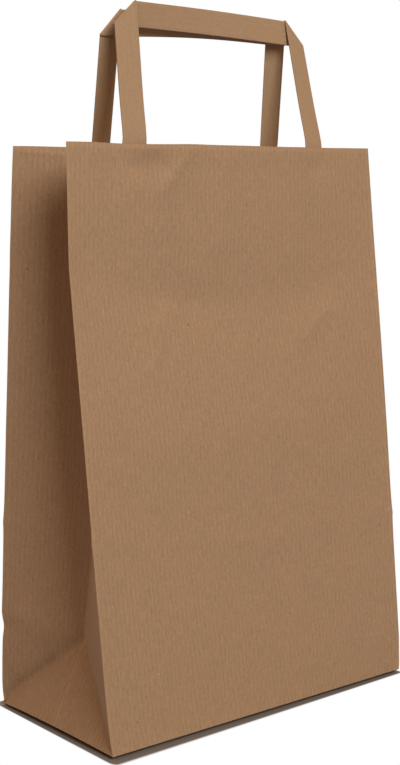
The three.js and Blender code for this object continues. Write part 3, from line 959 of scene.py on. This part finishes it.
# stage: white ground; near the bag the floor that the camera sees is painted dark, a painted shadow over
# the real one
stage = {"size": 6.0, "seen": (0.2, 0.16, 0.13), "bounce": (0.27, 0.28, 0.34), "drop": 1.6 * mm,
         "shadowWide": 7.5 * mm, "shadowNarrow": 2.5 * mm, "shadowRun": 230 * mm, "shadowStart": 0.6,
         "shadowScale": (2, 1, 1)}


def seenRay(tree, place):  # 1 where the picture, a reflection or a view through shows the background
    ray = addNode(tree, "ShaderNodeLightPath", place)
    found = ray.outputs["Is Camera Ray"]
    for number, word in enumerate(("Is Glossy Ray", "Is Transmission Ray")):
        beside = (place[0] + 180 + 180 * number, place[1])
        found = compute(tree, "MAXIMUM", beside, found, ray.outputs[word]).outputs[0]
    return found


def groundFinish():
    material = bpy.data.materials.new("paleGround")
    material.use_nodes = True
    tree = material.node_tree
    tree.nodes.clear()
    link = tree.links.new
    out = addNode(tree, "ShaderNodeOutputMaterial", (800, 0))
    matt = addNode(tree, "ShaderNodeBsdfDiffuse", (200, -150))
    shade = addNode(tree, "ShaderNodeMix", (20, -150), data_type="RGBA")
    shade.inputs[6].default_value = (*stage["bounce"], 1)
    # painted shadow: the camera sees the floor near the bag in this dark colour
    shade.inputs[7].default_value = (*stage["seen"], 1)
    link(shade.outputs[2], matt.inputs["Color"])
    white = addNode(tree, "ShaderNodeEmission", (200, 50))
    mixed = addNode(tree, "ShaderNodeMixShader", (600, 0))
    place = addNode(tree, "ShaderNodeTexCoord", (-900, 0))

    def vector(operation, at, *values):
        return compute(tree, operation, at, *values, kind="ShaderNodeVectorMath")

    away = vector("ABSOLUTE", (-700, 0), place.outputs["Object"])
    past = vector("SUBTRACT", (-520, 0), away.outputs[0], (halfWidth, halfDepth, 0))
    outside = vector("MAXIMUM", (-340, 0), past.outputs[0])
    scaled = vector("MULTIPLY", (-250, 0), outside.outputs[0], stage["shadowScale"])
    far = vector("LENGTH", (-160, 0), scaled.outputs[0])
    # the painted shadow band is widest at the front left corner and narrows away from it
    nearCorner = (-halfWidth, -halfDepth, -stage["drop"])  # front left, where the shadow is widest
    corner = vector("DISTANCE", (-520, -250), place.outputs["Object"], nearCorner)
    reach = addNode(tree, "ShaderNodeMapRange", (-340, -250))
    setInputs(reach, From_Max=stage["shadowRun"], To_Min=stage["shadowWide"], To_Max=stage["shadowNarrow"])
    link(corner.outputs["Value"], reach.inputs["Value"])
    share = compute(tree, "DIVIDE", (-160, -250), far.outputs["Value"], reach.outputs[0])
    fade = addNode(tree, "ShaderNodeMapRange", (20, 200), interpolation_type="SMOOTHSTEP")
    setInputs(fade, From_Min=stage["shadowStart"])
    link(share.outputs[0], fade.inputs["Value"])
    ray = seenRay(tree, (-400, 500))
    link(ray, shade.inputs[0])
    seen = compute(tree, "MULTIPLY", (300, 350), ray, fade.outputs[0])
    link(seen.outputs[0], mixed.inputs[0])
    link(matt.outputs[0], mixed.inputs[1])
    link(white.outputs[0], mixed.inputs[2])
    link(mixed.outputs[0], out.inputs["Surface"])
    return material


half, level = stage["size"] / 2, -stage["drop"]  # the folded edges stand just clear of the ground
corners = [(-half, -half, level), (half, -half, level), (half, half, level), (-half, half, level)]
ground = newPiece("ground", corners, [(0, 1, 2, 3)])
ground.data.materials.append(groundFinish())

lights = [
    {"name": "key", "at": (-0.31, -1.477, 1.16), "size": 0.9, "power": 26.6, "colour": (0.88, 1, 1.12)},
    {"name": "fill", "at": (-1.154, 0.538, 1.453), "size": 1.2, "power": 4.5, "colour": (1, 1, 1.15)},
    {"name": "rear", "at": (0.737, 1.277, 1.212), "size": 1.2, "power": 29, "colour": (0.9, 1, 1.15)},
]
aim = np.array([0, 0, 0.18])
for lamp in lights:
    data = bpy.data.lights.new(lamp["name"], "AREA")
    data.shape = "SQUARE"
    data.size = lamp["size"]
    data.energy = lamp["power"]
    data.color = lamp["colour"]
    holder = bpy.data.objects.new(lamp["name"], data)
    holder.visible_camera = False
    at = np.array(lamp["at"])
    look = aim - at
    yaw = math.atan2(look[0], look[1])
    pitch = math.atan2(look[2], math.hypot(look[0], look[1]))
    holder.location = at
    holder.rotation_euler = (math.pi / 2 + pitch, 0, -yaw)
    bpy.context.scene.collection.objects.link(holder)

studio = {"colour": (1, 0.62, 0.27, 1), "strength": 0.37}
world = bpy.data.worlds.new("studio")
bpy.context.scene.world = world
world.use_nodes = True
tree = world.node_tree
tree.nodes.clear()
sky = addNode(tree, "ShaderNodeBackground", (0, -100))
setInputs(sky, Color=studio["colour"], Strength=studio["strength"])
backdrop = addNode(tree, "ShaderNodeBackground", (0, 100))
setInputs(backdrop, Color=(1, 1, 1, 1))
choice = addNode(tree, "ShaderNodeMixShader", (250, 0))
tree.links.new(seenRay(tree, (-700, 300)), choice.inputs[0])
tree.links.new(sky.outputs[0], choice.inputs[1])
tree.links.new(backdrop.outputs[0], choice.inputs[2])
tree.links.new(choice.outputs[0], addNode(tree, "ShaderNodeOutputWorld", (450, 0)).inputs["Surface"])

# camera as the photograph was taken, its focal length in pixels of a 765 pixel high picture
view = {"at": (-0.544225, -0.651328, 0.303035), "down": 8.042, "turn": 39.618, "focal": 1471.92,
        "pictureHeight": 765, "sensor": 36}
lens = bpy.data.cameras.new("photo")
lens.sensor_width = view["sensor"]
lens.sensor_height = view["sensor"]
lens.sensor_fit = "VERTICAL"
lens.lens = view["sensor"] * view["focal"] / view["pictureHeight"]
camera = bpy.data.objects.new("photo", lens)
camera.location = view["at"]
camera.rotation_euler = (math.radians(90 - view["down"]), 0, -math.radians(view["turn"]))
bpy.context.scene.collection.objects.link(camera)
bpy.context.scene.camera = camera
bpy.context.scene.view_settings.view_transform = "Standard"
